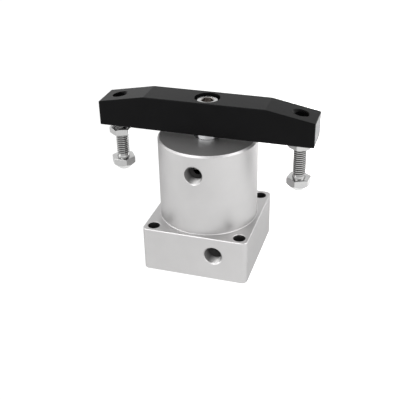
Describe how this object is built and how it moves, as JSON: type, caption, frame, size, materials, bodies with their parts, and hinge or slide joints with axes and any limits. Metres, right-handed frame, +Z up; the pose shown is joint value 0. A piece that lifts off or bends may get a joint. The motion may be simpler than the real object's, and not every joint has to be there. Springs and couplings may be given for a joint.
{
  "type": "rotary clamp cylinder",
  "caption": "Rotary clamp cylinder: square-flanged aluminium barrel with air ports, whose rod lifts and swings a black double-ended arm with adjustable clamp bolts and lock nuts.",
  "frame": {"origin": "centre of the flange's underside", "axes": "+Z up along the rod, -Y out of the air ports, +X along the arm at rest, towards the lower port's side"},
  "size_m": [0.0994, 0.05, 0.0794],
  "materials": {
    "satin_aluminium": "clear anodised, satin",
    "black_anodised": "black anodised, satin",
    "bright_steel": "bright plated",
    "hard_chrome": "ground and hard chromed",
    "hardened_steel": "ground",
    "spring_steel": "phosphated",
    "bearing_bronze": "sintered",
    "black_rubber": "moulded",
    "urethane": "moulded",
    "white_plastic": "moulded"
  },
  "bodies": {
    "housing": {"cylinder_body": "satin_aluminium", "bottom_cover": "satin_aluminium", "cover_o_ring": "black_rubber", "cover_key_pin": "hardened_steel", "retaining_ring": "spring_steel", "guide_shaft": "hardened_steel", "guide_screw": "spring_steel", "lower_bumper": "urethane", "upper_bumper": "urethane", "rod_bush": "bearing_bronze", "rod_seal": "black_rubber", "rod_wiper": "black_rubber"},
    "piston_rings": {"piston_seal": "black_rubber", "wear_ring": "white_plastic"},
    "rod_and_arm": {"piston": "satin_aluminium", "guide_pins": "hardened_steel", "rod_o_ring": "black_rubber", "piston_clip": "spring_steel", "piston_rod": "hard_chrome", "clamp_arm": "black_anodised", "arm_screw": "bright_steel", "spring_washer": "spring_steel"},
    "left_bolt": {"left_clamp_bolt": "bright_steel"},
    "left_nut": {"left_lock_nut": "bright_steel"},
    "right_bolt": {"right_clamp_bolt": "bright_steel"},
    "right_nut": {"right_lock_nut": "bright_steel"}
  },
  "joints": [
    {"name": "rod_stroke", "type": "slide", "parent": "housing", "child": "piston_rings", "axis": [0, 0, 1], "range_m": [0, 0.024]},
    {"name": "arm_swing", "type": "hinge", "parent": "piston_rings", "child": "rod_and_arm", "pos_m": [0, 0, 0.0639], "axis": [0, 0, 1], "range_deg": [0, 90]},
    {"name": "left_bolt_feed", "type": "slide", "parent": "rod_and_arm", "child": "left_bolt", "axis": [0, 0, 1], "range_m": [-0.001, 0.0115]},
    {"name": "left_nut_feed", "type": "slide", "parent": "rod_and_arm", "child": "left_nut", "axis": [0, 0, 1], "range_m": [0, 0.003]},
    {"name": "right_bolt_feed", "type": "slide", "parent": "rod_and_arm", "child": "right_bolt", "axis": [0, 0, 1], "range_m": [-0.001, 0.011]},
    {"name": "right_nut_feed", "type": "slide", "parent": "rod_and_arm", "child": "right_nut", "axis": [0, 0, 1], "range_m": [-0.003, 0]}
  ],
  "couplings": [
    {"joint": "arm_swing", "follows": "rod_stroke", "rad_per_m": 65.45}
  ]
}
